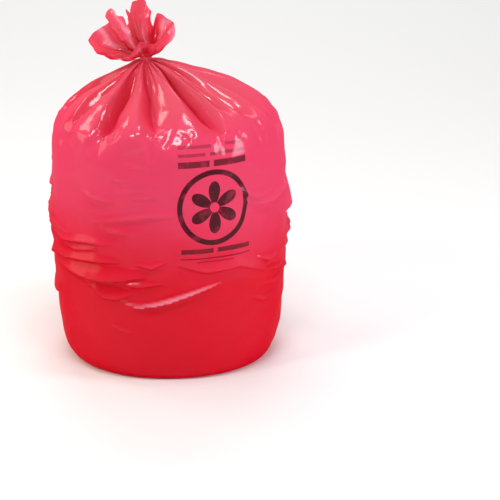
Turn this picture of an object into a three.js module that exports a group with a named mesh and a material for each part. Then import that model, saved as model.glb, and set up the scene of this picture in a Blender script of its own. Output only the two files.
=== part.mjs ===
// A filled and tied can liner: one piece of plastic film, standing on its base.
// Units are millimetres. +Z is up and the printed front faces -Y. The origin is the middle of the base,
// on the floor.
import * as THREE from "three";
import { ParametricGeometry } from "three/addons/geometries/ParametricGeometry.js";

// The flat bag, a common stock size of 30 by 43 inches
const flatWidth = 762;
const filmSlack = 0.99; // the filled girth over the flat bag's full girth
const bodyRadius = (flatWidth / Math.PI) * filmSlack;
const squareness = 2.1; // 2 is a round section, more is squarer
const half = 0.5;

// The base, which spreads a little less than the side
const footShare = 0.925; // of the fullest radius
const cornerInset = 30;
const cornerHeight = 36;
const cornerSteps = 3;

// The side between the base's corner and the shoulder: how far up, and the share of the fullest radius
const sideOutline = [
  [0, 0.925],
  [0.1, 0.955],
  [0.22, 0.972],
  [0.35, 0.988],
  [0.47, 0.997],
  [0.56, 1],
  [0.64, 0.994],
  [0.72, 0.991],
  [0.83, 0.988],
  [0.94, 0.978],
  [1, 0.968],
];
const sideSteps = 25;

// Folds that sag over one another on the side. Places are degrees from the front and heights. Above
// its lip a fold leans back over its rise, and below the lip it turns in over its drop.
const sagFolds = [
  { along: [[-122, 306], [-100, 294], [-76, 290], [-54, 286]], rise: 34, drop: 26, depth: 12 },
  { along: [[62, 326], [84, 306], [104, 306], [130, 332]], rise: 64, drop: 24, depth: 11 },
  { along: [[-84, 250], [-62, 240], [-40, 246], [-20, 252]], rise: 30, drop: 18, depth: 8 },
  { along: [[-78, 236], [-50, 212], [-32, 212], [-8, 230]], rise: 34, drop: 20, depth: 13 },
  { along: [[-42, 190], [-26, 168], [-8, 168], [10, 190], [28, 210]], rise: 28, drop: 20, depth: 12 },
  { along: [[38, 364], [54, 352], [70, 358], [86, 352]], rise: 30, drop: 20, depth: 8 },
  { along: [[138, 236], [160, 214], [184, 222], [202, 240]], rise: 32, drop: 20, depth: 12 },
  { along: [[196, 318], [216, 300], [236, 306]], rise: 30, drop: 20, depth: 9 },
];
const foldTaper = 0.6; // less keeps a fold full nearer to its ends

// The shoulder, where the film turns in to the neck
const shoulderHeight = 503;
const shoulderShare = 0.968; // of the fullest radius
const frontRise = 14; // the front of the shoulder stands higher than the sides
const shoulderRound = 26;
const shoulderSteps = 3;
const shoulderTurn = 60; // degrees from the upright side to the slope

// The slope from the shoulder up to the neck
const slopeRise = 108;
const slopeSteps = 10;
const slopeLength = Math.hypot(bodyRadius, slopeRise);
const sinkIn = 0.45; // a gather on the slope cuts this share inwards and the next one down
const sinkDown = 0.8;
const leftCrown = 1.15; // 1 is a straight slope, more bulges up
const rightCrown = 1.6;

// The neck, which stands off the middle
const neckOffset = -45;
const neckRadius = 13;
const neckHeight = shoulderHeight + slopeRise;
const neckRound = 4;
const neckWaist = 1; // how much narrower the neck is at its middle

// Gathers that run down from the neck to the shoulder. Each is a knife pleat: a steep wall on its left
// and a panel that rises slowly on its right. Angles go from the front towards +X, in degrees, and
// runsTo is where it ends, as a share of the way from the shoulder to the neck.
const gathers = [
  { at: -37, wall: 6, panel: 20, depth: 44, runsTo: -0.18 },
  { at: -9, wall: 7, panel: 24, depth: 36, runsTo: -0.16 },
  { at: 28, wall: 13, panel: 8, depth: 50, runsTo: -0.14 },
  { at: 41, wall: 5, panel: 9, depth: 24, runsTo: 0.05 },
  { at: 54, wall: 8, panel: 14, depth: 32, runsTo: -0.05 },
  { at: 78, wall: 10, panel: 16, depth: 34, runsTo: -0.12 },
  { at: 104, wall: 8, panel: 20, depth: 30, runsTo: -0.02 },
  { at: 137, wall: 12, panel: 18, depth: 44, runsTo: -0.16 },
  { at: 168, wall: 9, panel: 16, depth: 32, runsTo: -0.05 },
  { at: -162, wall: 11, panel: 18, depth: 44, runsTo: -0.14 },
  { at: -131, wall: 8, panel: 16, depth: 30, runsTo: -0.02 },
  { at: -97, wall: 12, panel: 18, depth: 38, runsTo: -0.12 },
  { at: -62, wall: 7, panel: 12, depth: 22, runsTo: 0.05 },
];
const gatherFade = 0.34; // the share over which a gather grows to its full depth
const wallCurve = 1.3; // 1 is a straight wall, more rounds its lip
const panelCurve = 1.6;
const pinchFrom = 0.45; // the share of the way to the neck where a gather starts to close
const neckPinch = 0.1; // the share of a gather's depth that is left at the neck

// The ruffled mouth above the neck, measured from the neck: places on the film's edge, each with the
// place half way down the film from there to the neck
const mouth = [
  { edge: [2, -20, 30], belly: [2, -20, 12] }, // the front dips between two folds
  { edge: [18, -34, 32], belly: [14, -28, 8] }, // right fold, its near edge
  { edge: [36, -38, 50], belly: [33, -34, 22] },
  { edge: [53, -24, 64], belly: [50, -24, 35] },
  { edge: [55, -2, 66], belly: [46, 0, 42] }, // its far edge
  { edge: [51, 14, 68], belly: [38, 14, 46] },
  { edge: [35, 24, 77], belly: [25, 20, 48] },
  { edge: [22, 34, 76], belly: [18, 28, 44] },
  { edge: [34, 54, 52], belly: [24, 40, 30] }, // fold at the back, on the right
  { edge: [26, 72, 40], belly: [16, 44, 24] },
  { edge: [6, 60, 52], belly: [4, 36, 30] },
  { edge: [10, 22, 81], belly: [11, 16, 46] }, // upright tongue
  { edge: [5, 12, 97], belly: [6, 6, 50] },
  { edge: [-3, 10, 112], belly: [-3, 4, 52] },
  { edge: [-18, 12, 109], belly: [-10, 6, 52] },
  { edge: [-28, 14, 103], belly: [-16, 10, 50] },
  { edge: [-30, 18, 83], belly: [-20, 14, 44] },
  { edge: [-36, 24, 82], belly: [-22, 18, 40] },
  { edge: [-34, 46, 56], belly: [-24, 36, 34] }, // fold at the back, on the left
  { edge: [-50, 56, 42], belly: [-32, 36, 26] },
  { edge: [-44, 18, 70], belly: [-27, 8, 40] }, // narrow fold on the upper left
  { edge: [-56, 4, 82], belly: [-32, -6, 42] },
  { edge: [-67, -6, 98], belly: [-40, -16, 44] },
  { edge: [-79, -4, 86], belly: [-50, -10, 38] },
  { edge: [-74, 12, 65], belly: [-54, 12, 34] },
  { edge: [-89, 25, 52], belly: [-62, 24, 22] }, // wide left fold, its far edge
  { edge: [-104, 16, 43], belly: [-74, 14, 14] },
  { edge: [-112, 0, 34], belly: [-84, -2, 10] },
  { edge: [-104, -20, 25], belly: [-80, -20, 4] }, // its near edge
  { edge: [-83, -32, 14], belly: [-58, -26, -1] },
  { edge: [-57, -34, 8], belly: [-41, -26, -4] },
  { edge: [-36, -30, 4], belly: [-26, -22, -3] },
  { edge: [-20, -27, 22], belly: [-14, -22, 8] }, // a small pleat beside the front dip
  { edge: [-10, -26, 34], belly: [-7, -21, 13] },
];
const mouthMiddle = 16; // height of the mouth's middle over the neck
const insideLift = 0.12; // how far the inside of the film stands towards the mouth's middle
const mouthSteps = 5;
const insideSteps = 3;

const stepsRound = 108;
const filmRed = new THREE.Color(0.82, 0.07, 0.16);

const degrees = THREE.MathUtils.degToRad;
const lerp = THREE.MathUtils.lerp;
const smooth = THREE.MathUtils.smoothstep;

// A point at an angle from the front, a distance from the axis and a height
function around(angle, radius, height, centreX = 0) {
  return new THREE.Vector3(centreX + radius * Math.sin(angle), -radius * Math.cos(angle), height);
}

// The filled section is a little squarer than a circle, with the same girth.
function section(angle) {
  const sum = Math.abs(Math.sin(angle)) ** squareness + Math.abs(Math.cos(angle)) ** squareness;
  const corner = 2 ** (half - 1 / squareness);
  return sum ** (-1 / squareness) / lerp(1, corner, half);
}

// An angle brought into the half turn either side of zero
function halfTurn(angle) {
  return Math.atan2(Math.sin(angle), Math.cos(angle));
}

// How deep the gathers cut at a share of the way from the shoulder to the neck
function gatherSink(angle, share) {
  const sink = gathers.reduce((depth, gather) => {
    const turn = halfTurn(angle - degrees(gather.at));
    const wall = Math.max(0, 1 + turn / degrees(gather.wall)) ** wallCurve;
    const panel = Math.max(0, 1 - turn / degrees(gather.panel)) ** panelCurve;
    const grown = smooth(share, gather.runsTo, gather.runsTo + gatherFade);
    return depth + gather.depth * grown * (turn < 0 ? wall : panel);
  }, 0);
  return sink * lerp(1, neckPinch, smooth(share, pinchFrom, 1));
}

// How far one fold on the side stands out
function foldPush(angle, height, { along, rise, drop, depth }) {
  const first = along[0][0];
  const last = along[along.length - 1][0];
  const middle = (first + last) / 2;
  const place = middle + (halfTurn(angle - degrees(middle)) * 180) / Math.PI;
  if (place <= first || place >= last) {
    return 0;
  }
  const next = along.findIndex(([at]) => at > place);
  const [at0, height0] = along[next - 1];
  const [at1, height1] = along[next];
  const over = height - lerp(height0, height1, (place - at0) / (at1 - at0));
  const taper = Math.sin((Math.PI * (place - first)) / (last - first)) ** foldTaper;
  return depth * taper * Math.max(0, over > 0 ? 1 - over / rise : 1 + over / drop);
}

// The side's share of the fullest radius, on a smooth curve through its outline
const sideCurve = new THREE.SplineCurve(sideOutline.map(([up, out]) => new THREE.Vector2(up, out)));

function shoulderHeightAt(angle) {
  return shoulderHeight + frontRise * Math.max(0, Math.cos(angle)) ** 2;
}

// The flat foot and the rounded corner above it
function baseRings() {
  const foot = bodyRadius * footShare - cornerInset;
  const rings = [() => new THREE.Vector3(0, 0, 0)];
  rings.push((angle) => around(angle, foot * section(angle) * half, 0));
  for (let i = 0; i <= cornerSteps; i++) {
    const turn = (i / cornerSteps) * (Math.PI / 2);
    const out = foot + cornerInset * Math.sin(turn);
    const up = cornerHeight * (1 - Math.cos(turn));
    rings.push((angle) => around(angle, out * section(angle), up));
  }
  return rings;
}

function sideRings() {
  const rings = [];
  for (let i = 1; i < sideSteps; i++) {
    const { x: up, y: out } = sideCurve.getPoint(i / sideSteps);
    const below = (shoulderRound + (1 - up) * shoulderHeight) / slopeLength;
    rings.push((angle) => {
      const top = shoulderHeightAt(angle) - shoulderRound;
      const height = lerp(cornerHeight, top, up);
      const push = sagFolds.reduce((sum, fold) => sum + foldPush(angle, height, fold), 0);
      return around(angle, bodyRadius * out * section(angle) + push - gatherSink(angle, -below), height);
    });
  }
  return rings;
}

// A point on the shoulder's round edge, after a turn from the upright side
function shoulderPoint(angle, turn) {
  const radius = bodyRadius * shoulderShare * section(angle) - shoulderRound * (1 - Math.cos(turn));
  return around(angle, radius, shoulderHeightAt(angle) - shoulderRound * (1 - Math.sin(turn)));
}

function shoulderRings() {
  const rings = [];
  for (let i = 0; i < shoulderSteps; i++) {
    const turn = degrees(shoulderTurn) * (i / shoulderSteps);
    const below = (shoulderRound * (1 - i / shoulderSteps)) / slopeLength;
    rings.push((angle) => {
      const sink = gatherSink(angle, -below);
      return shoulderPoint(angle, turn).sub(around(angle, sink * Math.cos(turn), sink * Math.sin(turn)));
    });
  }
  return rings;
}

// The gathered slope between the shoulder's edge and the neck
function slopeRings() {
  const rings = [];
  for (let i = 0; i <= slopeSteps; i++) {
    const share = i / slopeSteps;
    rings.push((angle) => {
      const start = shoulderPoint(angle, degrees(shoulderTurn));
      const end = around(angle, neckRadius, neckHeight - neckRound, neckOffset);
      const crown = lerp(leftCrown, rightCrown, (1 + Math.sin(angle)) / 2);
      const point = start.clone().lerp(end, share);
      point.z = lerp(start.z, end.z, 1 - (1 - share) ** crown);
      const sink = gatherSink(angle, share);
      return point.sub(around(angle, sink * sinkIn, sink * sinkDown));
    });
  }
  return rings;
}

function neckRings() {
  const ring = (height, radius) => (angle) =>
    around(angle, radius - gatherSink(angle, 1), height, neckOffset);
  return [ring(neckHeight, neckRadius - neckWaist), ring(neckHeight + neckRound, neckRadius)];
}

function mouthCurve(spots, neckTop) {
  return new THREE.CatmullRomCurve3(spots.map((spot) => new THREE.Vector3(...spot).add(neckTop)), true);
}

function mouthRings() {
  const neckTop = new THREE.Vector3(neckOffset, 0, neckHeight + neckRound);
  const edge = mouthCurve(mouth.map((spot) => spot.edge), neckTop);
  const belly = mouthCurve(mouth.map((spot) => spot.belly), neckTop);
  const middle = neckTop.clone().setZ(neckTop.z + mouthMiddle);

  // a curve through the neck, the belly half way and the edge
  const outside = (share) => (angle) => {
    const turn = angle / (2 * Math.PI);
    const point = around(angle, neckRadius, neckTop.z, neckOffset);
    point.multiplyScalar((2 * share - 1) * (share - 1));
    point.addScaledVector(belly.getPoint(turn), 4 * share * (1 - share));
    return point.addScaledVector(edge.getPoint(turn), share * (2 * share - 1));
  };
  // the inside keeps a film's thickness over the outside, and flattens towards the middle
  const inside = (share) => (angle) => outside(1 - share)(angle).lerp(middle, lerp(insideLift, 1, share));

  const rings = [];
  for (let i = 1; i <= mouthSteps; i++) {
    rings.push(outside(i / mouthSteps));
  }
  for (let i = 1; i <= insideSteps; i++) {
    rings.push(inside(i / (insideSteps + 1)));
  }
  rings.push(() => middle);
  return rings;
}

const rings = [
  ...baseRings(),
  ...sideRings(),
  ...shoulderRings(),
  ...slopeRings(),
  ...neckRings(),
  ...mouthRings(),
];

function bagSurface(u, v, target) {
  const ring = rings[Math.round(v * (rings.length - 1))];
  target.copy(ring((u % 1) * 2 * Math.PI));
}

const film = new THREE.MeshStandardMaterial({ color: filmRed, roughness: 0.3, metalness: 0 });
const bag = new THREE.Mesh(new ParametricGeometry(bagSurface, stepsRound, rings.length - 1), film);
bag.name = "bag";

const tiedBag = new THREE.Group();
tiedBag.add(bag);

export default tiedBag;
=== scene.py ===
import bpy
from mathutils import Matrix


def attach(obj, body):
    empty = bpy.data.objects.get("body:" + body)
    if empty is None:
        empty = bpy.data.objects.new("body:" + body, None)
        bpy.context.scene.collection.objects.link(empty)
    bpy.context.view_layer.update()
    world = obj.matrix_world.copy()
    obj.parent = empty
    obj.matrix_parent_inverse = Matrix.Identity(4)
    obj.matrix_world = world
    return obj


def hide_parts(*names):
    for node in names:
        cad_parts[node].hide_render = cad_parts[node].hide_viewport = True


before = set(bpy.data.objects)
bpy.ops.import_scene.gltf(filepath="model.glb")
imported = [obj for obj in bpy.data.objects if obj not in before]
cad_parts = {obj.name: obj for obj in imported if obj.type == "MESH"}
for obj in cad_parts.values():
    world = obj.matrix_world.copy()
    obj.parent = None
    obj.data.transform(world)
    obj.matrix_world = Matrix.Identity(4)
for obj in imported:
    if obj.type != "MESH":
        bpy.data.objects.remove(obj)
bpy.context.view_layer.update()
print("frame loaded")

import math

import bpy
import numpy as np
from mathutils import Vector

# A filled bag of red see-through film, gathered at the neck. Metres, +Z up, front at -Y.

# the solid's driving sizes, in metres. The right slope is a little flatter than the solid's.
bag = {
    "flatWidth": 0.762,
    "filmSlack": 0.99,  # the filled girth over the flat bag's full girth
    "squareness": 2.1,  # 2 is a round section, more is squarer
    "footShare": 0.925,
    "cornerInset": 0.030,
    "cornerHeight": 0.036,
    "shoulderHeight": 0.503,
    "shoulderShare": 0.968,
    "frontRise": 0.014,
    "shoulderRound": 0.026,
    "shoulderTurn": 60,  # degrees
    "slopeRise": 0.108,
    "leftCrown": 1.15,
    "rightCrown": 1.48,
    "neckOffset": -0.045,
    "neckRadius": 0.013,
    "neckRound": 0.004,
    "neckWaist": 0.94,  # the neck's middle over its ends
    "neckPinch": 0.1,  # the share of a gather's depth that is left at the neck
    "pinchFrom": 0.45,  # as a share of the way up the slope
    "baseMiddle": 0.04,  # the base's smallest ring over its largest
}
bag["radius"] = bag["flatWidth"] / math.pi * bag["filmSlack"]
bag["neckHeight"] = bag["shoulderHeight"] + bag["slopeRise"]

# how far up the side, and the share of the fullest radius
sideOutline = [
    (0.0, 0.925), (0.1, 0.955), (0.22, 0.972), (0.35, 0.988), (0.47, 0.997),
    (0.56, 1.0), (0.64, 0.994), (0.72, 0.991), (0.83, 0.988), (0.94, 0.978), (1.0, 0.968),
]

# rows of film from the middle of the base to the mouth's edge, and columns around it
rows = {
    "around": 176, "base": 5, "corner": 4, "side": 60, "shoulder": 4, "slope": 31, "neck": 3, "mouth": 17,
}
slopeRow = rows["base"] + rows["corner"] + rows["side"] + rows["shoulder"]
neckRow = slopeRow + rows["slope"]
mouthRow = neckRow + rows["neck"]
foldBand = {"low": 0.26, "high": 0.70, "closer": 1.1, "soft": 0.1}  # the side's rows lie closer here

# gathers from the neck to the shoulder. Each is a knife pleat: a steep wall on its left and a
# panel that rises slowly on its right. Angles go from the front towards +X, in degrees, and
# runsTo is where it ends, as a share of the way from the shoulder to the neck.
gathers = [
    {"at": -37, "wall": 6, "panel": 20, "depth": 0.044, "runsTo": -0.18},
    {"at": -9, "wall": 7, "panel": 24, "depth": 0.036, "runsTo": -0.16},
    {"at": 28, "wall": 13, "panel": 8, "depth": 0.050, "runsTo": -0.14},
    {"at": 41, "wall": 5, "panel": 9, "depth": 0.024, "runsTo": 0.05},
    {"at": 54, "wall": 8, "panel": 14, "depth": 0.032, "runsTo": -0.05},
    {"at": 78, "wall": 10, "panel": 16, "depth": 0.034, "runsTo": -0.12},
    {"at": 104, "wall": 8, "panel": 20, "depth": 0.030, "runsTo": -0.02},
    {"at": 137, "wall": 12, "panel": 18, "depth": 0.044, "runsTo": -0.16},
    {"at": 168, "wall": 9, "panel": 16, "depth": 0.032, "runsTo": -0.05},
    {"at": -162, "wall": 11, "panel": 18, "depth": 0.044, "runsTo": -0.14},
    {"at": -131, "wall": 8, "panel": 16, "depth": 0.030, "runsTo": -0.02},
    {"at": -97, "wall": 12, "panel": 18, "depth": 0.038, "runsTo": -0.12},
    {"at": -62, "wall": 7, "panel": 12, "depth": 0.022, "runsTo": -0.22},
]
gatherFade = 0.34  # the share over which a gather grows to its full depth
gatherCurve = {"wall": 1.3, "panel": 1.6}  # 1 is straight, more is hollower
gatherSinks = {"in": 0.45, "down": 0.8}  # on the slope, over the gather's depth
wallShadeSpan = {"start": -1.15, "whole": -0.8, "end": 0.35}  # where film lies double and shade is painted, in wall widths

# the ruffled mouth round the neck, in metres from the neck: a place on the film's edge, then the
# place half way down the film from there to the neck
mouth = [
    ((0.002, -0.020, 0.030), (0.002, -0.020, 0.012)),  # the front dips between two folds
    ((0.018, -0.034, 0.032), (0.014, -0.028, 0.008)),  # right fold, its near edge
    ((0.036, -0.038, 0.050), (0.033, -0.034, 0.022)),
    ((0.053, -0.024, 0.064), (0.050, -0.024, 0.035)),
    ((0.055, -0.002, 0.066), (0.046, 0.000, 0.042)),  # its far edge
    ((0.051, 0.014, 0.068), (0.038, 0.014, 0.046)),
    ((0.035, 0.024, 0.077), (0.025, 0.020, 0.048)),
    ((0.022, 0.034, 0.076), (0.018, 0.028, 0.044)),
    ((0.034, 0.054, 0.052), (0.024, 0.040, 0.030)),  # fold at the back, on the right
    ((0.026, 0.072, 0.040), (0.016, 0.044, 0.024)),
    ((0.006, 0.060, 0.052), (0.004, 0.036, 0.030)),
    ((0.010, 0.022, 0.081), (0.011, 0.016, 0.046)),  # upright tongue
    ((0.005, 0.012, 0.097), (0.006, 0.006, 0.050)),
    ((-0.003, 0.010, 0.112), (-0.003, 0.004, 0.052)),
    ((-0.018, 0.012, 0.109), (-0.010, 0.006, 0.052)),
    ((-0.028, 0.014, 0.103), (-0.016, 0.010, 0.050)),
    ((-0.030, 0.018, 0.083), (-0.020, 0.014, 0.044)),
    ((-0.040, 0.020, 0.090), (-0.022, 0.016, 0.040)),  # thin spike
    ((-0.034, 0.046, 0.056), (-0.024, 0.036, 0.034)),  # fold at the back, on the left
    ((-0.050, 0.056, 0.042), (-0.032, 0.036, 0.026)),
    ((-0.044, 0.018, 0.070), (-0.027, 0.008, 0.040)),  # narrow fold on the upper left
    ((-0.056, 0.004, 0.082), (-0.032, -0.006, 0.042)),
    ((-0.067, -0.006, 0.098), (-0.040, -0.016, 0.044)),
    ((-0.079, -0.004, 0.086), (-0.050, -0.010, 0.038)),
    ((-0.074, 0.012, 0.065), (-0.054, 0.012, 0.034)),
    ((-0.089, 0.025, 0.052), (-0.062, 0.024, 0.022)),  # wide left fold, its far edge
    ((-0.104, 0.016, 0.043), (-0.074, 0.014, 0.014)),
    ((-0.112, 0.000, 0.034), (-0.084, -0.002, 0.010)),
    ((-0.104, -0.020, 0.025), (-0.080, -0.020, 0.004)),  # its near edge
    ((-0.083, -0.032, 0.014), (-0.058, -0.026, -0.001)),
    ((-0.057, -0.034, 0.008), (-0.041, -0.026, -0.004)),
    ((-0.036, -0.030, 0.004), (-0.026, -0.022, -0.003)),
    ((-0.020, -0.027, 0.022), (-0.014, -0.022, 0.008)),  # a small pleat beside the front dip
    ((-0.010, -0.026, 0.034), (-0.007, -0.021, 0.013)),
]


# film geometry
def around(angle, radius, height, centreX=0.0):
    spot = [centreX + radius * np.sin(angle), -radius * np.cos(angle), height + 0 * angle]
    return np.stack(np.broadcast_arrays(*spot), axis=-1)


def section(angle):
    n = bag["squareness"]
    total = np.abs(np.sin(angle)) ** n + np.abs(np.cos(angle)) ** n
    corner = 2 ** (0.5 - 1 / n)
    return total ** (-1 / n) / ((1 + corner) / 2)


def smooth(x, low, high):
    # 0 at low and 1 at high, whichever of the two is the larger
    t = np.clip((x - low) / (high - low), 0, 1)
    return t * t * (3 - 2 * t)


def shoulderHeightAt(angle):
    return bag["shoulderHeight"] + bag["frontRise"] * np.maximum(0, np.cos(angle)) ** 2


def shoulderPoint(angle, turn):
    radius = bag["radius"] * bag["shoulderShare"] * section(angle)
    radius = radius - bag["shoulderRound"] * (1 - math.cos(turn))
    return around(angle, radius, shoulderHeightAt(angle) - bag["shoulderRound"] * (1 - math.sin(turn)))


def closedCurve(spots, count):
    spots = np.array(spots)
    n = len(spots)
    t = np.arange(count) / count * n
    i = np.floor(t).astype(int)
    f = (t - i)[:, None]
    p0, p1, p2, p3 = (spots[(i + k) % n] for k in (-1, 0, 1, 2))
    return 0.5 * (2 * p1 + (p2 - p0) * f + (2 * p0 - 5 * p1 + 4 * p2 - p3) * f ** 2
                  + (3 * p1 - p0 - 3 * p2 + p3) * f ** 3)


def gatherSink(angle, share):
    sink = np.zeros_like(angle)
    for g in gathers:
        turn = (angle - math.radians(g["at"]) + math.pi) % (2 * math.pi) - math.pi
        wall = np.clip(1 + turn / math.radians(g["wall"]), 0, 1) ** gatherCurve["wall"] * (turn < 0)
        panel = np.clip(1 - turn / math.radians(g["panel"]), 0, 1) ** gatherCurve["panel"] * (turn >= 0)
        sink += g["depth"] * (wall + panel) * smooth(share, g["runsTo"], g["runsTo"] + gatherFade)
    return sink * (1 + (bag["neckPinch"] - 1) * smooth(share, bag["pinchFrom"], 1))


def gatherWallShade(angle, share):
    # 1 in a gather's steep wall, where the film lies double and is painted darker as shade
    shadeLayers = np.zeros(np.broadcast(angle, share).shape)
    for g in gathers:
        turn = (angle - math.radians(g["at"]) + math.pi) % (2 * math.pi) - math.pi
        turn = turn / math.radians(g["wall"])
        across = smooth(turn, wallShadeSpan["start"], wallShadeSpan["whole"])
        across = across * smooth(turn, wallShadeSpan["end"], 0)
        shadeLayers = np.maximum(shadeLayers, across * smooth(share, g["runsTo"], g["runsTo"] + gatherFade))
    return shadeLayers


def sideRows():
    # heights of the side's rows as shares, closer together in the band of folds
    step = (np.arange(rows["side"]) + 0.5) / rows["side"]
    band = smooth(step, foldBand["low"], foldBand["low"] + foldBand["soft"])
    band = band * smooth(step, foldBand["high"], foldBand["high"] - foldBand["soft"])
    gaps = 1 / (1 + foldBand["closer"] * band)
    return np.cumsum(gaps)[:-1] / gaps.sum()


def drawFilm():
    angle = np.arange(rows["around"]) / rows["around"] * 2 * math.pi
    grid = []
    foot = bag["radius"] * bag["footShare"] - bag["cornerInset"]
    for i in range(rows["base"]):
        out = bag["baseMiddle"] + (1 - bag["baseMiddle"]) * i / rows["base"]
        grid.append(around(angle, foot * section(angle) * out, 0.0))
    for i in range(rows["corner"] + 1):
        turn = i / rows["corner"] * math.pi / 2
        out = foot + bag["cornerInset"] * math.sin(turn)
        grid.append(around(angle, out * section(angle), bag["cornerHeight"] * (1 - math.cos(turn))))
    ups, outs = zip(*sideOutline)
    top = shoulderHeightAt(angle) - bag["shoulderRound"]
    slopeLength = math.hypot(bag["radius"], bag["slopeRise"])
    for up in sideRows():
        height = bag["cornerHeight"] + (top - bag["cornerHeight"]) * up
        below = (bag["shoulderRound"] + (1 - up) * bag["shoulderHeight"]) / slopeLength
        out = bag["radius"] * smoothOutline(up, ups, outs) * section(angle) - gatherSink(angle, -below)
        grid.append(around(angle, out, height))
    for i in range(rows["shoulder"]):
        turn = math.radians(bag["shoulderTurn"]) * i / rows["shoulder"]
        below = bag["shoulderRound"] * (1 - i / rows["shoulder"]) / slopeLength
        sink = gatherSink(angle, -below)
        moved = around(angle, sink * math.cos(turn), sink * math.sin(turn))
        grid.append(shoulderPoint(angle, turn) - moved)
    start = shoulderPoint(angle, math.radians(bag["shoulderTurn"]))
    end = around(angle, bag["neckRadius"], bag["neckHeight"] - bag["neckRound"], bag["neckOffset"])
    crown = bag["leftCrown"] + (bag["rightCrown"] - bag["leftCrown"]) * (1 + np.sin(angle)) / 2
    for i in range(rows["slope"] + 1):
        share = i / rows["slope"]
        ring = start + (end - start) * share
        ring[:, 2] = start[:, 2] + (end[:, 2] - start[:, 2]) * (1 - (1 - share) ** crown)
        sink = gatherSink(angle, share)
        ring -= around(angle, sink * gatherSinks["in"], sink * gatherSinks["down"])
        grid.append(ring)
    neckTop = bag["neckHeight"] + bag["neckRound"]
    for i in range(1, rows["neck"]):
        height = bag["neckHeight"] - bag["neckRound"] + 2 * bag["neckRound"] * i / rows["neck"]
        grid.append(around(angle, bag["neckRadius"] * bag["neckWaist"], height, bag["neckOffset"]))
    neckPlace = np.array([bag["neckOffset"], 0, neckTop])
    edge, belly = (closedCurve(spots, rows["around"]) + neckPlace for spots in zip(*mouth))
    begin = around(angle, bag["neckRadius"], neckTop, bag["neckOffset"])
    for i in range(rows["mouth"] + 1):
        share = i / rows["mouth"]
        # a curve through the neck, the belly half way and the edge
        grid.append(begin * (2 * share - 1) * (share - 1) + belly * 4 * share * (1 - share)
                    + edge * share * (2 * share - 1))
    return np.array(grid)


def smoothOutline(x, xs, ys):
    # a cubic through the outline's points
    slopes = np.gradient(ys, xs)
    i = int(np.clip(np.searchsorted(xs, x) - 1, 0, len(xs) - 2))
    width = xs[i + 1] - xs[i]
    t = (x - xs[i]) / width
    return ((2 * t ** 3 - 3 * t ** 2 + 1) * ys[i] + (t ** 3 - 2 * t ** 2 + t) * width * slopes[i]
            + (3 * t ** 2 - 2 * t ** 3) * ys[i + 1] + (t ** 3 - t ** 2) * width * slopes[i + 1])


def meshFromGrid(name, grid):
    ringCount, count, _ = grid.shape
    faces = []
    for r in range(ringCount - 1):
        for c in range(count):
            d = (c + 1) % count
            faces.append((r * count + c, r * count + d, (r + 1) * count + d, (r + 1) * count + c))
    middle = ringCount * count
    for c in range(count):
        faces.append((middle, (c + 1) % count, c))
    spots = np.concatenate([grid.reshape(-1, 3), grid[0].mean(axis=0, keepdims=True)])
    mesh = bpy.data.meshes.new(name)
    mesh.from_pydata(spots.tolist(), [], faces)
    for polygon in mesh.polygons:
        polygon.use_smooth = True
    # metres around from the front's middle, height, and share of the rows
    place = mesh.attributes.new("filmPlace", "FLOAT_VECTOR", "POINT")
    angle = np.arange(count) / count * 2 * math.pi
    across = ((angle + math.pi) % (2 * math.pi) - math.pi) * bag["radius"]
    places = np.zeros((len(spots), 3))
    places[:-1, 0] = np.tile(across, ringCount)
    places[:, 1] = spots[:, 2]
    places[:-1, 2] = np.repeat(np.arange(ringCount) / ringCount, count)
    place.data.foreach_set("vector", places.reshape(-1))
    mesh.update()
    piece = bpy.data.objects.new(name, mesh)
    bpy.context.scene.collection.objects.link(piece)
    return piece


# the film settles under the air and waste inside
settle = {
    "frames": 16,
    "pressure": 3.0,
    "tension": 40,
    "compression": 1.0,
    "bending": 0.05,
    "shear": 2,
    "damping": 10,
    "shearDamping": 5,
    "airDamping": 3,
    "mass": 0.05,
    "steps": 6,  # in a frame
    "slackRows": (-2, 10),  # rows from the slope's start over which its film widens to the full girth
    "cap": 0.008,  # how far a point may move
    "leftOnSlope": 0.2,  # the share of its move that the upper slope keeps
    "slopeRows": (6, 20),  # rows from the slope's start over which that share comes in
}


def restGrid(grid):
    # the film before it was gathered: a straight tube of the bag's full girth
    ringCount, count, _ = grid.shape
    angle = np.arange(count) / count * 2 * math.pi
    steps = np.linalg.norm(np.diff(grid, axis=0), axis=2).mean(axis=1)
    up = np.concatenate([[0], np.cumsum(steps)])
    rest = np.zeros_like(grid)
    for r in range(ringCount):
        girth = np.linalg.norm(np.roll(grid[r], -1, axis=0) - grid[r], axis=1).sum()
        drawn = girth / (2 * math.pi)
        gathered = smooth(r - slopeRow, *settle["slackRows"])
        radius = drawn + (bag["radius"] - drawn) * gathered
        rest[r] = around(angle, radius, up[r])
    return rest


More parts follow.
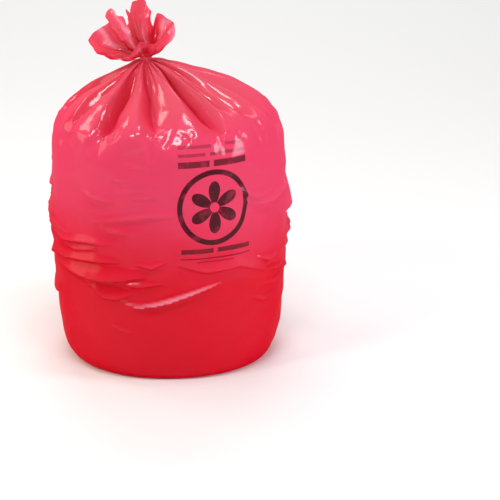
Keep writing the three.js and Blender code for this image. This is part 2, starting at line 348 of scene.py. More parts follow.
def settleFilm(grid):
    ringCount, count, _ = grid.shape
    piece = meshFromGrid("settling", grid)
    piece.shape_key_add(name="drawn")
    key = piece.shape_key_add(name="flatTube")
    rest = restGrid(grid)
    key.data.foreach_set("co", np.append(rest.reshape(-1), rest[0].mean(axis=0)))
    held = piece.vertex_groups.new(name="held")
    pushed = piece.vertex_groups.new(name="pushed")
    for r in range(ringCount):
        ring = list(range(r * count, (r + 1) * count))
        if r <= rows["base"] + 1 or neckRow - 1 <= r <= mouthRow + 1:
            held.add(ring, 1.0, "REPLACE")
        if r < neckRow:
            pushed.add(ring, 1.0, "REPLACE")
    cloth = piece.modifiers.new("cloth", "CLOTH")
    plastic = cloth.settings
    plastic.quality = settle["steps"]
    plastic.mass = settle["mass"]
    plastic.air_damping = settle["airDamping"]
    plastic.tension_stiffness = settle["tension"]
    plastic.compression_stiffness = settle["compression"]
    plastic.shear_stiffness = settle["shear"]
    plastic.bending_stiffness = settle["bending"]
    plastic.tension_damping = settle["damping"]
    plastic.compression_damping = settle["damping"]
    plastic.shear_damping = settle["shearDamping"]
    plastic.use_pressure = True
    plastic.uniform_pressure_force = settle["pressure"]
    plastic.vertex_group_pressure = "pushed"
    plastic.vertex_group_mass = "held"
    plastic.pin_stiffness = 1
    plastic.rest_shape_key = key
    plastic.effector_weights.gravity = 0
    cloth.collision_settings.use_collision = False
    scene = bpy.context.scene
    scene.frame_start = 1
    scene.frame_end = settle["frames"] + 1
    cloth.point_cache.frame_start = 1
    cloth.point_cache.frame_end = settle["frames"] + 1
    for f in range(1, settle["frames"] + 2):
        scene.frame_set(f)
    graph = bpy.context.evaluated_depsgraph_get()
    settled = np.zeros((ringCount * count + 1) * 3)
    piece.evaluated_get(graph).data.vertices.foreach_get("co", settled)
    settled = settled[:-3].reshape(grid.shape)
    mesh = piece.data
    bpy.data.objects.remove(piece)
    bpy.data.meshes.remove(mesh)
    scene.frame_set(1)
    move = settled - grid
    far = np.linalg.norm(move, axis=2, keepdims=True)
    onSlope = smooth(np.arange(ringCount) - slopeRow, *settle["slopeRows"])[:, None, None]
    move = move * (1 - (1 - settle["leftOnSlope"]) * onSlope)
    return grid + move * np.minimum(1, settle["cap"] / np.maximum(far, 1e-9))


# pleats that run out of the neck, down the slope and up the mouth
pleats = {
    "count": 34,
    "seed": 7,
    "slopeDepth": 0.006,
    "mouthDepth": 0.005,
    "comeIn": (0.45, 0.85),  # shares of the way up the slope
    "leftAtNeck": 0.4,
    "leftAtEdge": 0.2,
    "narrowest": 0.4,
    "widest": 1.6,
}
# how dark the film is painted where it lies double and in shade: in the gathers' walls, the pleats' creases,
# near the neck, the ruffle's pleats and on the tongue
doubledShade = {"gather": 0.55, "pleat": 0.3, "neck": 0.35, "mouthPleat": 0.8, "tongue": 0.6}
tongueSpot = {"place": 14, "width": 2.2}  # on the mouth's edge, where the tongue is painted darker

# folds that sag over one another on the side: a facet that faces up, then a sharp lip and a drop.
# Places are degrees from the front and millimetres of height, the rest is metres.
lip = {
    "rise": 0.022,
    "drop": 0.006,
    "back": 0.016,
    "depth": 0.005,
    "hollow": 0.35,  # the dip under the lip over its depth
    "gleam": 0.05,  # how strong the painted highlight over the lip is
    "gleamFacet": (0.1, 0.8),
    "taper": 0.6,
    "endRise": 0.35,  # the rise and the drop at a fold's ends over those at its middle
    "endDrop": 0.5,
}
frontFolds = [
    {"along": [(-122, 306), (-104, 296), (-84, 290), (-70, 292), (-56, 286)], "rise": 0.014, "drop": 0.022,
     "depth": 0.007},
    {"along": [(66, 322), (80, 308), (96, 304), (112, 312), (128, 330)], "rise": 0.070, "drop": 0.016,
     "depth": 0.012},
    {"along": [(-84, 252), (-70, 240), (-58, 239), (-44, 245), (-33, 249), (-24, 252)], "rise": 0.020,
     "depth": 0.009},
    {"along": [(-78, 238), (-70, 225), (-50, 213), (-40, 210), (-29, 214), (-11, 228)], "rise": 0.028,
     "depth": 0.014},
    {"along": [(-29, 212), (-16, 206), (-3, 215)], "rise": 0.012, "depth": 0.007},
    {"along": [(-41, 190), (-33, 174), (-25, 177), (-18, 192)], "rise": 0.015, "depth": 0.009},
    {"along": [(-25, 172), (-18, 163), (-14, 162), (-7, 168), (0, 177), (8, 188), (16, 199), (25, 209)],
     "rise": 0.010, "depth": 0.010, "gleam": 1.0},
    {"along": [(-17, 253), (-9, 247), (-2, 259)], "rise": 0.009, "depth": 0.006},
    {"along": [(-42, 323), (-35, 330), (-23, 340), (-11, 349), (5, 354)], "rise": 0.010, "depth": 0.006},
    {"along": [(-36, 326), (-30, 313), (-20, 311)], "rise": 0.012, "depth": 0.006},
    {"along": [(-48, 386), (-38, 376), (-26, 373)], "rise": 0.011, "depth": 0.006},
    {"along": [(-76, 272), (-62, 270), (-46, 282), (-28, 287)], "rise": 0.014, "depth": 0.008},
    {"along": [(-64, 262), (-50, 262), (-36, 272)], "rise": 0.010, "depth": 0.006},
    {"along": [(34, 394), (44, 370), (52, 368), (61, 375)], "rise": 0.014, "depth": 0.006},
    {"along": [(39, 362), (49, 352), (58, 350), (70, 359), (84, 352)], "rise": 0.020, "depth": 0.009},
    {"along": [(50, 185), (61, 175), (69, 180)], "rise": 0.012, "depth": 0.007},
    {"along": [(41, 166), (52, 147), (60, 152)], "rise": 0.012, "depth": 0.006},
    {"along": [(45, 246), (54, 231), (63, 236)], "rise": 0.014, "depth": 0.007},
    {"along": [(55, 209), (64, 202), (73, 208)], "rise": 0.012, "depth": 0.006},
    {"along": [(2, 254), (17, 235), (34, 239), (54, 208)], "rise": 0.034, "depth": 0.006},
    {"along": [(-22, 478), (-17, 478), (-11, 483)], "rise": 0.006, "depth": 0.003},
    {"along": [(-22, 453), (-16, 447), (-9, 452)], "rise": 0.006, "depth": 0.003},
    {"along": [(-31, 423), (-26, 419), (-19, 420)], "rise": 0.007, "depth": 0.003},
    {"along": [(-27, 405), (-20, 400), (-12, 404)], "rise": 0.007, "depth": 0.003},
    {"along": [(-20, 390), (-14, 386), (-6, 391)], "rise": 0.007, "depth": 0.003},
    {"along": [(-32, 118), (-25, 110), (-18, 102)], "rise": 0.010, "depth": 0.003},
]
# folds by chance on the sides and the back: degrees and millimetres as above, rise and depth in metres
chanceFolds = {
    "count": 58,
    "seed": 23,
    "frontLeftAlone": 76,
    "low": 120,
    "most": 250,
    "high": 430,
    "reach": (8, 24),
    "tilt": 14,
    "bow": (-14, 4),
    "size": (0.5, 1.0),
    "rise": 0.022,
    "depth": 0.0065,
}

# painted highlights on the ruffle, as pale streaks: the place on the mouth's edge, counted in the points of
# its list, the width in such places, how far it runs from the neck (0) to the edge (1) and the strength
mouthGleams = [
    {"place": 3.2, "width": 0.55, "low": 0.20, "high": 1.0, "strength": 0.9},
    {"place": 5.4, "width": 0.50, "low": 0.45, "high": 1.1, "strength": 0.7},
    {"place": 13.2, "width": 0.35, "low": 0.15, "high": 0.55, "strength": 0.6},
    {"place": 21.3, "width": 0.55, "low": 0.10, "high": 1.1, "strength": 0.9},
    {"place": 25.3, "width": 0.35, "low": 0.35, "high": 1.1, "strength": 0.8},
    {"place": 29.6, "width": 0.25, "low": 0.30, "high": 0.9, "strength": 0.5},
    {"place": 32.6, "width": 0.45, "low": 0.0, "high": 0.8, "strength": 0.45},
]

gleamSway = {"far": 0.25, "waves": 9}
gleamEnds = {"before": 0.1, "after": 0.15}

# creases as folded waves through space: size of a facet, how far it stretches round the bag, depth,
# and where they come in and fade, in metres of height or shares of the way up the slope
creases = {
    "side": {"size": 0.034, "stretch": 2.6, "depth": 0.0030, "seed": 3, "upIn": (0.03, 0.08),
             "upOut": (0.50, 0.40)},
    "rim": {"size": 0.085, "stretch": 1.2, "depth": 0.0064, "seed": 9, "upIn": (0.42, 0.48),
            "shareOut": (0.30, 0.02)},
    "slope": {"size": 0.070, "stretch": 1.0, "depth": 0.0026, "seed": 12, "shareIn": (0.05, 0.3),
              "shareOut": (0.95, 0.6)},
    "mouth": {"size": 0.026, "stretch": 1.0, "depth": 0.0042, "seed": 15},
}
foldedWave = {"ways": 5, "steepest": 0.9, "bend": 0.45, "sway": 0.35}


def twiceAsFine(grid):
    # puts a row and a column between each pair, on cubics through their neighbours
    left, right, far = (np.roll(grid, k, axis=1) for k in (1, -1, -2))
    between = (9 * (grid + right) - (left + far)) / 16
    wide = np.empty((grid.shape[0], grid.shape[1] * 2, 3))
    wide[:, 0::2] = grid
    wide[:, 1::2] = between
    above = np.concatenate([wide[1:], wide[-1:]])
    below = np.concatenate([wide[:1], wide[:-1]])
    further = np.concatenate([above[1:], above[-1:]])
    between = ((9 * (wide + above) - (below + further)) / 16)[:-1]
    tall = np.empty((grid.shape[0] * 2 - 1, wide.shape[1], 3))
    tall[0::2] = wide
    tall[1::2] = between
    return tall


def outward(grid):
    acrossRing = np.roll(grid, -1, axis=1) - np.roll(grid, 1, axis=1)
    upFilm = np.gradient(grid, axis=0)
    normal = np.cross(acrossRing, upFilm)
    return normal / np.maximum(np.linalg.norm(normal, axis=2, keepdims=True), 1e-12)


def pleatArch(angle, count, seed):
    # panels of chance widths between sharp creases: 0 on a crease, 1 in a panel's middle
    chance = np.random.default_rng(seed)
    widths = chance.uniform(pleats["narrowest"], pleats["widest"], count)
    edges = np.concatenate([[0], np.cumsum(widths)]) / widths.sum() * 2 * math.pi
    i = np.clip(np.searchsorted(edges, angle, side="right") - 1, 0, count - 1)
    t = (angle - edges[i]) / (edges[i + 1] - edges[i])
    return 4 * t * (1 - t) * widths[i]


def foldHeight(across, up, fold):
    # how far one fold pushes the film out, at places across and up the film
    middle = math.radians(np.mean([a for a, z in fold["along"]]))
    run = (across - middle + math.pi) % (2 * math.pi) - math.pi
    run = run * bag["radius"]
    spots = [((math.radians(a) - middle) * bag["radius"], z / 1000) for a, z in fold["along"]]
    lengths = [math.dist(p, q) for p, q in zip(spots, spots[1:])]
    total = sum(lengths)
    nearest = np.full(run.shape, 9.0)
    offset = np.zeros(run.shape)
    along = np.zeros(run.shape)
    passed = 0.0
    for (x0, z0), (x1, z1), length in zip(spots, spots[1:], lengths):
        dx, dz = (x1 - x0) / length, (z1 - z0) / length
        t = np.clip((run - x0) * dx + (up - z0) * dz, 0, length)
        gap = np.hypot(run - x0 - t * dx, up - z0 - t * dz)
        side = (up - z0) * dx - (run - x0) * dz
        closer = gap < nearest
        nearest = np.where(closer, gap, nearest)
        offset = np.where(closer, np.sign(side) * gap, offset)
        along = np.where(closer, (passed + t) / total, along)
        passed += length
    f = {**lip, **fold}
    taper = np.sin(math.pi * np.clip(along, 0, 1)) ** f["taper"]
    rise = f["rise"] * (f["endRise"] + (1 - f["endRise"]) * taper)
    drop = f["drop"] * (f["endDrop"] + (1 - f["endDrop"]) * taper)
    facet = np.clip(1 - offset / rise, 0, 1)
    under = np.clip(1 + offset / drop, 0, 1)
    hollow = np.clip(1 + (offset + drop) / f["back"], 0, 1) * np.clip(-offset / drop, 0, 1)
    height = f["depth"] * taper * (np.where(offset > 0, facet, under) - f["hollow"] * hollow)
    # a painted highlight on the facet just over the lip
    gleam = f["gleam"] * taper * smooth(facet, *f["gleamFacet"])
    gleam = gleam * smooth(offset, -0.002, 0.001) * (facet < 1)
    return height, gleam


def chanceFold(chance):
    look = chanceFolds
    at = chance.uniform(look["frontLeftAlone"], 360 - look["frontLeftAlone"])
    height = chance.triangular(look["low"], look["most"], look["high"])
    reach = chance.uniform(*look["reach"])
    tilt = chance.normal(0, look["tilt"])
    bow = chance.uniform(*look["bow"])
    size = chance.uniform(*look["size"])
    along = [(at + reach * t, height + tilt * t + bow * (1 - t * t)) for t in (-1, -0.5, 0, 0.5, 1)]
    return {"along": along, "rise": look["rise"] * size, "depth": look["depth"] * size}


def folded(wave):
    return 2 * np.abs(wave - np.floor(wave + 0.5))


def creaseHeight(grid, look):
    # the mean of a few folded waves, whose kinks cross into flat facets
    chance = np.random.default_rng(look["seed"])
    total = np.zeros(grid.shape[:2])
    ways = foldedWave["ways"]
    for _ in range(ways):
        turn = chance.uniform(0, 2 * math.pi)
        level = chance.uniform(-foldedWave["steepest"], foldedWave["steepest"])
        flat = math.sqrt(1 - level ** 2) / look["stretch"]
        way = np.array([math.cos(turn) * flat, math.sin(turn) * flat, level])
        bend = chance.uniform(-1, 1, 3) / look["size"] * foldedWave["bend"]
        wave = grid @ way / look["size"] + foldedWave["sway"] * np.sin(grid @ bend) + chance.uniform()
        total += folded(wave)
    return look["depth"] * (total / ways - 0.5) * 2


def mouthHighlights(place, mouthShare):
    # painted highlights on the ruffle
    stretch = np.zeros(np.broadcast(place, mouthShare).shape)
    for streak in mouthGleams:
        low, high = streak["low"], streak["high"]
        sway = gleamSway["far"] * np.sin(gleamSway["waves"] * mouthShare + streak["place"])
        away = (place - streak["place"] + sway) / streak["width"]
        band = np.exp(-away ** 2) * smooth(mouthShare, low - gleamEnds["before"], low + gleamEnds["after"])
        band = band * smooth(mouthShare, high + gleamEnds["before"], high - gleamEnds["after"])
        stretch = np.maximum(stretch, streak["strength"] * band)
    return stretch


def foldFilm(grid):
    # the folded film, a mask of painted highlights, and one of doubled film with painted shade
    ringCount, count, _ = grid.shape
    angle = np.arange(count) / count * 2 * math.pi
    # the fine film has twice the rows
    slopeStart, slopeEnd, mouthBegin = 2 * slopeRow, 2 * neckRow, 2 * mouthRow
    ringNumber = np.arange(ringCount)[:, None]
    share = (ringNumber - slopeStart) / (slopeEnd - slopeStart)
    mouthShare = (ringNumber - mouthBegin) / (ringCount - 1 - mouthBegin)
    belowNeck = ringNumber <= slopeEnd
    arch = pleatArch(angle, pleats["count"], pleats["seed"])
    onSlope = smooth(share, *pleats["comeIn"]) * belowNeck
    onSlope = onSlope * (1 - (1 - pleats["leftAtNeck"]) * smooth(share, 0.9, 1))
    inMouth = smooth(ringNumber, mouthBegin, mouthBegin + 8) * (ringNumber > slopeEnd)
    nearNeck = 1 - (1 - pleats["leftAtEdge"]) * smooth(ringNumber, mouthBegin + 6, ringCount - 1)
    push = (arch - 1) * (pleats["slopeDepth"] * onSlope + pleats["mouthDepth"] * inMouth * nearNeck)

    up = grid[..., 2]
    side, rim, slope = (creases[part] for part in ("side", "rim", "slope"))
    onBody = smooth(up, *side["upIn"]) * smooth(up, *side["upOut"]) * (ringNumber < slopeStart + 6)
    push = push + creaseHeight(grid, side) * onBody
    push = push + creaseHeight(grid, rim) * smooth(up, *rim["upIn"]) * smooth(share, *rim["shareOut"])
    midSlope = smooth(share, *slope["shareIn"]) * smooth(share, *slope["shareOut"])
    push = push + creaseHeight(grid, slope) * midSlope
    push = push + creaseHeight(grid, creases["mouth"]) * inMouth

    across = np.broadcast_to(angle, (ringCount, count))
    onSide = smooth(up, 0.03, 0.07) * (ringNumber < slopeStart)
    chance = np.random.default_rng(chanceFolds["seed"])
    place = angle / (2 * math.pi) * len(mouth)
    # stretch is the mask of painted highlights, on the ruffle and over the folds' lips
    stretch = mouthHighlights(place, mouthShare)
    for fold in frontFolds + [chanceFold(chance) for _ in range(chanceFolds["count"])]:
        height, gleam = foldHeight(across, up, fold)
        push = push + height * onSide
        stretch = np.maximum(stretch, gleam * onSide)

    creased = (1 - np.minimum(1, arch / arch.mean())) ** 2
    tongue = np.exp(-((place - tongueSpot["place"]) / tongueSpot["width"]) ** 2)
    # painted shade: darker where the film lies double in the gathers' walls, in the pleats' creases, near the
    # neck, in the ruffle's pleats and on the tongue
    shadeLayers = doubledShade["gather"] * gatherWallShade(angle, share) * belowNeck + doubledShade["pleat"] * creased * onSlope
    shadeLayers = np.maximum(shadeLayers, doubledShade["neck"] * smooth(share, 0.9, 1.0) * (ringNumber < mouthBegin))
    inRuffle = np.maximum(doubledShade["mouthPleat"] * creased * nearNeck, doubledShade["tongue"] * tongue)
    shadeLayers = np.maximum(shadeLayers, inMouth * inRuffle)
    return grid + outward(grid) * push[..., None], stretch, shadeLayers


filmGrid = drawFilm()
print("film drawn")
filmGrid = settleFilm(filmGrid)
print("film settled")
filmGrid, paintedHighlight, doubleAndShade = foldFilm(twiceAsFine(filmGrid))
film = meshFromGrid("film_bag", filmGrid)
# masks of painted highlights and of doubled film with painted shade
for name, values in (("paintedHighlight", paintedHighlight), ("doubleAndShade", doubleAndShade)):
    mask = film.data.attributes.new(name, "FLOAT", "POINT")
    mask.data.foreach_set("value", np.append(values.reshape(-1), 0))
print("film folded:", len(film.data.polygons), "faces")


# camera
camera = {
    "lens": 180,
    "elevation": 17,
    "metresPerPixel": 0.00203,
    "centreHeight": 0.362,
    "bagLeft": 79.5,  # pixels from the picture's middle to the bag's
    "bagUp": 74.5,
    "sensorWidth": 36,
    "pixelsWide": 500,
}


def placeCamera():
    data = bpy.data.cameras.new("camera")
    data.lens = camera["lens"]
    data.sensor_width = camera["sensorWidth"]
    cam = bpy.data.objects.new("camera", data)
    bpy.context.scene.collection.objects.link(cam)
    bpy.context.scene.camera = cam
    distance = camera["lens"] * camera["pixelsWide"] / camera["sensorWidth"] * camera["metresPerPixel"]
    rise = math.radians(camera["elevation"])
    centre = Vector((0, 0, camera["centreHeight"]))
    back = Vector((0, -math.cos(rise), math.sin(rise)))
    up = Vector((0, math.sin(rise), math.cos(rise)))
    cam.location = centre + back * distance
    # the bag stands left of the picture's middle and above it
    aim = centre + Vector((1, 0, 0)) * camera["metresPerPixel"] * camera["bagLeft"]
    aim = aim - up * camera["metresPerPixel"] * camera["bagUp"]
    cam.rotation_mode = "QUATERNION"
    cam.rotation_quaternion = (aim - cam.location).to_track_quat("-Z", "Y")
    data.clip_start = 0.05
    data.clip_end = 60


placeCamera()


# light and floor: each softbox by its direction from the bag in degrees, its distance and size in
# metres and its power in watts
white = (1, 1, 1)
studio = {
    "world": 0.44,
    "floor": 0.80,
    "floorRoughness": 0.8,
    "floorReach": 8,
    "aimHeight": 0.45,
}
studio["softboxes"] = [
    {"name": "mainLight", "around": 40, "up": 80, "far": 2.4, "size": (0.30, 0.24), "power": 5,
     "colour": white},
    {"name": "frontLight", "around": 4, "up": 60, "far": 2.4, "size": (0.95, 0.34), "power": 22,
     "colour": white},
    {"name": "keyLight", "around": -48, "up": 40, "far": 2.4, "size": (0.38, 0.28), "power": 14,
     "colour": (1.0, 0.96, 0.90)},
    {"name": "leftLight", "around": -92, "up": 15, "far": 2.6, "size": (1.3, 1.4), "power": 17,
     "colour": (1.0, 0.84, 0.66)},
    {"name": "rightLight", "around": 70, "up": 15, "far": 2.6, "size": (0.8, 1.2), "power": 30,
     "colour": (0.93, 0.90, 1.0)},
    {"name": "backLeft", "around": -120, "up": 42, "far": 2.4, "size": (0.6, 0.5), "power": 9,
     "colour": (1.0, 0.86, 0.76)},
    {"name": "floorLight", "around": 180, "up": 40, "far": 5.6, "size": (4.0, 3.0), "power": 145,
     "colour": white},
]


def placeSoftbox(look):
    data = bpy.data.lights.new(look["name"], "AREA")
    data.shape = "RECTANGLE"
    data.size, data.size_y = look["size"]
    data.energy = look["power"]
    data.color = look["colour"]
    lamp = bpy.data.objects.new(look["name"], data)
    bpy.context.scene.collection.objects.link(lamp)
    a, e = math.radians(look["around"]), math.radians(look["up"])
    toLamp = Vector((math.sin(a) * math.cos(e), -math.cos(a) * math.cos(e), math.sin(e)))
    lamp.location = Vector((0, 0, studio["aimHeight"])) + toLamp * look["far"]
    lamp.rotation_mode = "QUATERNION"
    lamp.rotation_quaternion = (-toLamp).to_track_quat("-Z", "Y")


def layFloor():
    reach = studio["floorReach"]
    mesh = bpy.data.meshes.new("floor")
    corners = [(-reach, -reach, 0), (reach, -reach, 0), (reach, reach, 0), (-reach, reach, 0)]
    mesh.from_pydata(corners, [], [(0, 1, 2, 3)])
    floor = bpy.data.objects.new("floor", mesh)
    bpy.context.scene.collection.objects.link(floor)
    material = bpy.data.materials.new("paleFloor")
    material.use_nodes = True
    shader = material.node_tree.nodes["Principled BSDF"]
    shader.inputs["Base Color"].default_value = (studio["floor"], studio["floor"], studio["floor"], 1)
    shader.inputs["Roughness"].default_value = studio["floorRoughness"]
    mesh.materials.append(material)


def dressStage():
    world = bpy.data.worlds.new("studio")
    world.use_nodes = True
    world.node_tree.nodes["Background"].inputs["Color"].default_value = (1, 1, 1, 1)
    world.node_tree.nodes["Background"].inputs["Strength"].default_value = studio["world"]
    bpy.context.scene.world = world
    for look in studio["softboxes"]:
        placeSoftbox(look)
    layFloor()
    bpy.context.scene.view_settings.view_transform = "Standard"


dressStage()
print("stage dressed")


# material
def newGroup(name, inputs, outputs):
    tree = bpy.data.node_groups.new(name, "ShaderNodeTree")
    for label, kind in inputs:
        tree.interface.new_socket(name=label, in_out="INPUT", socket_type=kind)
    for label, kind in outputs:
        tree.interface.new_socket(name=label, in_out="OUTPUT", socket_type=kind)
    return tree, tree.nodes.new("NodeGroupInput"), tree.nodes.new("NodeGroupOutput")


def maths(tree, operation, *values):
    node = tree.nodes.new("ShaderNodeMath")
    node.operation = operation
    for i, value in enumerate(values):
        if isinstance(value, (int, float)):
            node.inputs[i].default_value = value
        else:
            tree.links.new(value, node.inputs[i])
    return node.outputs[0]


def within(tree, value, low, high):
    soft = panel["edge"]
    above = rampUp(tree, value, low - soft, low + soft)
    below = rampUp(tree, value, high + soft, high - soft)
    return maths(tree, "MULTIPLY", above, below)


def rampUp(tree, value, low, high, to=(0, 1)):
    node = tree.nodes.new("ShaderNodeMapRange")
    node.interpolation_type = "SMOOTHSTEP"
    tree.links.new(value, node.inputs["Value"])
    node.inputs["From Min"].default_value = low
    node.inputs["From Max"].default_value = high
    node.inputs["To Min"].default_value = to[0]
    node.inputs["To Max"].default_value = to[1]
    return node.outputs[0]


def noise(tree, place, scale, detail=3, roughness=0.5, distortion=0.0):
    node = tree.nodes.new("ShaderNodeTexNoise")
    tree.links.new(place, node.inputs["Vector"])
    node.inputs["Scale"].default_value = scale
    node.inputs["Detail"].default_value = detail
    node.inputs["Roughness"].default_value = roughness
    node.inputs["Distortion"].default_value = distortion
    return node.outputs[0]


def scaled(tree, place, by):
    node = tree.nodes.new("ShaderNodeMapping")
    node.inputs["Scale"].default_value = by
    tree.links.new(place, node.inputs["Vector"])
    return node.outputs[0]


# a plain printed panel: rows of bars over and under a rosette in a ring, in metres on the film
panel = {
    "halfWidth": 0.073,
    "edge": 0.0006,  # how soft the print's edges are
    "petals": 6,
    "petalShape": 0.6,
    "hub": 0.010,
    "middle": 0.091,  # from the front's middle towards the right
    "rosetteUp": 0.366,
    "ringRadius": 0.071,
    "ringWidth": 0.0105,
    "petalReach": 0.053,
    "rows": [  # height, thickness, spans from the panel's left edge, how strong the ink is
        {"up": 0.4885, "thick": 0.0060, "spans": [(0, 0.070), (0.104, 0.146)], "ink": 0.42},
        {"up": 0.4735, "thick": 0.0060, "spans": [(0, 0.056), (0.066, 0.146)], "ink": 0.52},
        {"up": 0.4550, "thick": 0.0125, "spans": [(0, 0.064), (0.073, 0.146)], "ink": 0.84},
        {"up": 0.2790, "thick": 0.0095, "spans": [(0.004, 0.069), (0.078, 0.150)], "ink": 0.84},
        {"up": 0.2640, "thick": 0.0018, "spans": [(0.002, 0.152)], "ink": 0.9},
        {"up": 0.2570, "thick": 0.0014, "spans": [(0.034, 0.112)], "ink": 0.8},
    ],
}


def printedPanel():
    place = [("Place", "NodeSocketVector")]
    tree, into, out = newGroup("printedPanel", place, [("Ink", "NodeSocketFloat")])
    split = tree.nodes.new("ShaderNodeSeparateXYZ")
    tree.links.new(into.outputs["Place"], split.inputs[0])
    across = maths(tree, "SUBTRACT", split.outputs[0], panel["middle"])
    up = maths(tree, "SUBTRACT", split.outputs[1], panel["rosetteUp"])
    squares = [maths(tree, "POWER", value, 2) for value in (across, up)]
    reach = maths(tree, "SQRT", maths(tree, "ADD", *squares))
    half = panel["ringWidth"] / 2
    ink = within(tree, reach, panel["ringRadius"] - half, panel["ringRadius"] + half)
    turn = maths(tree, "MULTIPLY", maths(tree, "ARCTAN2", up, across), panel["petals"] / 2)
    petal = maths(tree, "POWER", maths(tree, "ABSOLUTE", maths(tree, "SINE", turn)), panel["petalShape"])
    petal = maths(tree, "MULTIPLY", petal, panel["petalReach"])
    inPetal = rampUp(tree, maths(tree, "SUBTRACT", petal, reach), -panel["edge"], panel["edge"])
    outsideHub = within(tree, reach, panel["hub"], 1)
    ink = maths(tree, "MAXIMUM", ink, maths(tree, "MULTIPLY", inPetal, outsideHub))
    left = maths(tree, "ADD", across, panel["halfWidth"])
    for row in panel["rows"]:
        tall = within(tree, split.outputs[1], row["up"] - row["thick"] / 2, row["up"] + row["thick"] / 2)
        for low, high in row["spans"]:
            bar = maths(tree, "MULTIPLY", tall, within(tree, left, low, high))
            ink = maths(tree, "MAXIMUM", ink, maths(tree, "MULTIPLY", bar, row["ink"]))
    tree.links.new(ink, out.inputs["Ink"])
    return tree


# ridged noise: the number of waves in a metre, how much flatter than wide, how bent, and its share
crinkle = [
    {"scale": 7, "flatten": 2.2, "bend": 0.8, "share": 1.0},
    {"scale": 15, "flatten": 4.0, "bend": 1.2, "share": 0.30},
    {"scale": 38, "flatten": 1.6, "bend": 0.6, "share": 0.05},
]


def filmCrinkle():
    # the small creases and stretch lines of thin film, as a height
    place = [("Place", "NodeSocketVector")]
    tree, into, out = newGroup("filmCrinkle", place, [("Height", "NodeSocketFloat")])
    height = None
    for look in crinkle:
        flattened = scaled(tree, into.outputs["Place"], (1, 1, look["flatten"]))
        wave = noise(tree, flattened, look["scale"], 3, 0.55, look["bend"])
        ridge = maths(tree, "ABSOLUTE", maths(tree, "SUBTRACT", wave, 0.5))
        ridge = maths(tree, "MULTIPLY", ridge, -look["share"])
        height = ridge if height is None else maths(tree, "ADD", height, ridge)
    tree.links.new(height, out.inputs["Height"])
    return tree


mouthStart = mouthRow / (mouthRow + rows["mouth"])  # share of the rows below the mouth

filmLook = {
    # colours of the film: over air, over the waste, on the slope, lying double with painted shade, in the
    # ruffle, painted shade at the neck, and a painted highlight
    "upper": (0.87, 0.064, 0.165, 1),
    "crown": (0.80, 0.100, 0.165, 1),
    "doubledShade": (0.70, 0.012, 0.045, 1),
    "lower": (0.80, 0.001, 0.024, 1),
    "mouth": (0.82, 0.050, 0.110, 1),
    "neckShade": (0.66, 0.004, 0.022, 1),
    "highlightPaint": (1.0, 0.38, 0.50, 1),
    "ink": (0.045, 0.0002, 0.004, 1),
    "levelLeft": 0.322,  # where the waste inside darkens the film, in metres up
    "levelRight": 0.260,
    "levelWidth": 0.5,  # from the left side to the right
    "levelBelow": 0.09,  # how far down and up from the level the colours blend
    "levelAbove": 0.10,
    "wander": {"scale": 6, "flatten": 1.5, "level": 0.10, "mouth": 0.06},  # slow noise that bends edges
    "slopeFrom": 0.49,  # heights over which the slope's colour comes in
    "slopeTo": 0.56,
    "mouthSoft": 0.01,  # shares of the rows
    # where the painted shade at the neck starts to fade into the ruffle's colour, in shares of the rows past
    # the mouth's start
    "neckShadeReach": 0.03,
    "patches": {"scale": 40, "from": 0.30, "to": 0.52, "weakest": 0.72, "strongest": 0.96},  # of the ink
    "frontEdge": 0.02,  # the print is only on the front
    "ior": 1.45,
    "roughness": 0.17,
    "gloss": 0.32,
    "coat": 0.7,  # on the tight upper film
    "coatFrom": 0.44,
    "coatTo": 0.50,
    "coatRoughness": 0.12,
    "bump": 0.18,
    "bumpDistance": 0.006,
    "clear": 0.34,  # the share of light that goes through the film instead of off it
    "seeThrough": 0.10,  # of the mouth's single film
    "clearTint": (1.0, 0.34, 0.42, 1),
    "dullEdge": 0.85,  # how much gloss is gone where the film is seen edge on
    "dullFrom": 0.12,
    "dullTo": 0.7,
}


def mixColours(tree, share, first, second):
    node = tree.nodes.new("ShaderNodeMix")
    node.data_type = "RGBA"
    tree.links.new(share, node.inputs[0])
    for socket, value in ((node.inputs[6], first), (node.inputs[7], second)):
        if isinstance(value, tuple):
            socket.default_value = value
        else:
            tree.links.new(value, socket)
    return node.outputs[2]


def maskNode(nodes, name, output):
    node = nodes.new("ShaderNodeAttribute")
    node.attribute_name = name
    return node.outputs[output]


def splitVector(tree, vector):
    node = tree.nodes.new("ShaderNodeSeparateXYZ")
    tree.links.new(vector, node.inputs[0])
    return node.outputs


def placeGroup(tree, group, place):
    node = tree.nodes.new("ShaderNodeGroup")
    node.node_tree = group
    tree.links.new(place, node.inputs["Place"])
    return node.outputs[0]


def mixShaders(tree, share, first, second):
    node = tree.nodes.new("ShaderNodeMixShader")
    if isinstance(share, float):
        node.inputs["Fac"].default_value = share
    else:
        tree.links.new(share, node.inputs["Fac"])
    tree.links.new(first, node.inputs[1])
    tree.links.new(second, node.inputs[2])
    return node.outputs["Shader"]


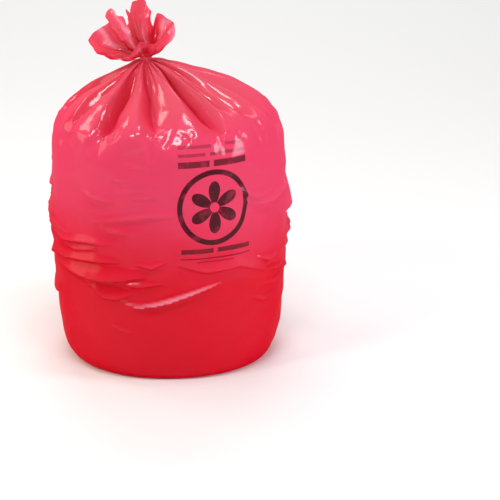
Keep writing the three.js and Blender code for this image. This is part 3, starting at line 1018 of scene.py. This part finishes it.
def filmColour(tree, place, spot):
    # the film's colour with its painted shade and painted highlights, then the mask of the mouth
    look = filmLook
    across, _, _ = splitVector(tree, spot)
    _, up, upFilm = splitVector(tree, place)
    slow = look["wander"]
    wander = noise(tree, scaled(tree, spot, (1, 1, slow["flatten"])), slow["scale"], 3, 0.55)
    tilt = maths(tree, "MULTIPLY", across, (look["levelLeft"] - look["levelRight"]) / look["levelWidth"])
    wave = maths(tree, "MULTIPLY", wander, slow["level"])
    height = maths(tree, "ADD", maths(tree, "ADD", up, tilt), wave)
    level = (look["levelLeft"] + look["levelRight"] + slow["level"]) / 2
    overAir = rampUp(tree, height, level - look["levelBelow"], level + look["levelAbove"])
    colour = mixColours(tree, overAir, look["lower"], look["upper"])
    onSlope = rampUp(tree, up, look["slopeFrom"], look["slopeTo"])
    colour = mixColours(tree, onSlope, colour, look["crown"])
    inMouth = rampUp(tree, upFilm, mouthStart - look["mouthSoft"], mouthStart + look["mouthSoft"])
    # the ruffle is painted darker towards the neck, as shade
    fromNeck = maths(tree, "ADD", upFilm, maths(tree, "MULTIPLY", wander, slow["mouth"]))
    fromNeck = rampUp(tree, fromNeck, mouthStart + look["neckShadeReach"], 1.0)
    mouthColour = mixColours(tree, fromNeck, look["neckShade"], look["mouth"])
    colour = mixColours(tree, inMouth, colour, mouthColour)
    # painted shade where the film lies double, in creases, near the neck and on the tongue
    colour = mixColours(tree, maskNode(tree.nodes, "doubleAndShade", "Fac"), colour, look["doubledShade"])
    # painted highlights over the folds' lips and on the ruffle
    colour = mixColours(tree, maskNode(tree.nodes, "paintedHighlight", "Fac"), colour, look["highlightPaint"])
    return colour, inMouth


def inkMask(tree, place, spot):
    look = filmLook["patches"]
    patchy = noise(tree, spot, look["scale"], 4, 0.7)
    patchy = rampUp(tree, patchy, look["from"], look["to"], (look["weakest"], look["strongest"]))
    ink = maths(tree, "MULTIPLY", placeGroup(tree, printedPanel(), place), patchy)
    _, back, _ = splitVector(tree, spot)
    inFront = rampUp(tree, back, filmLook["frontEdge"], -filmLook["frontEdge"])
    return maths(tree, "MULTIPLY", ink, inFront)


def filmMaterial():
    look = filmLook
    material = bpy.data.materials.new("redFilm")
    material.use_nodes = True
    tree = material.node_tree
    nodes, links = tree.nodes, tree.links
    place = maskNode(nodes, "filmPlace", "Vector")
    spot = nodes.new("ShaderNodeTexCoord").outputs["Object"]
    colour, inMouth = filmColour(tree, place, spot)
    printed = mixColours(tree, inkMask(tree, place, spot), colour, look["ink"])
    shader = nodes["Principled BSDF"]
    links.new(printed, shader.inputs["Base Color"])
    shader.inputs["Roughness"].default_value = look["roughness"]
    shader.inputs["IOR"].default_value = look["ior"]
    shader.inputs["Specular IOR Level"].default_value = look["gloss"]
    coat = rampUp(tree, splitVector(tree, place)[1], look["coatFrom"], look["coatTo"], (0, look["coat"]))
    links.new(coat, shader.inputs["Coat Weight"])
    shader.inputs["Coat Roughness"].default_value = look["coatRoughness"]
    bump = nodes.new("ShaderNodeBump")
    bump.inputs["Strength"].default_value = look["bump"]
    bump.inputs["Distance"].default_value = look["bumpDistance"]
    links.new(placeGroup(tree, filmCrinkle(), spot), bump.inputs["Height"])
    links.new(bump.outputs["Normal"], shader.inputs["Normal"])
    # seen edge on, the film is dull
    dull = nodes.new("ShaderNodeBsdfDiffuse")
    links.new(printed, dull.inputs["Color"])
    facing = nodes.new("ShaderNodeLayerWeight")
    facing.inputs["Blend"].default_value = 0.5
    edge = rampUp(tree, facing.outputs["Facing"], look["dullFrom"], look["dullTo"], (0, look["dullEdge"]))
    film = mixShaders(tree, edge, shader.outputs["BSDF"], dull.outputs["BSDF"])
    # light goes through it, and the mouth's single film shows what is behind
    through = nodes.new("ShaderNodeBsdfTranslucent")
    links.new(printed, through.inputs["Color"])
    film = mixShaders(tree, look["clear"], film, through.outputs["BSDF"])
    clearFilm = nodes.new("ShaderNodeBsdfTransparent")
    clearFilm.inputs["Color"].default_value = look["clearTint"]
    seen = maths(tree, "MULTIPLY", inMouth, look["seeThrough"])
    film = mixShaders(tree, seen, film, clearFilm.outputs["BSDF"])
    links.new(film, nodes["Material Output"].inputs["Surface"])
    return material


film.data.materials.append(filmMaterial())
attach(film, "root")
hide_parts("bag")

print("bag dressed")
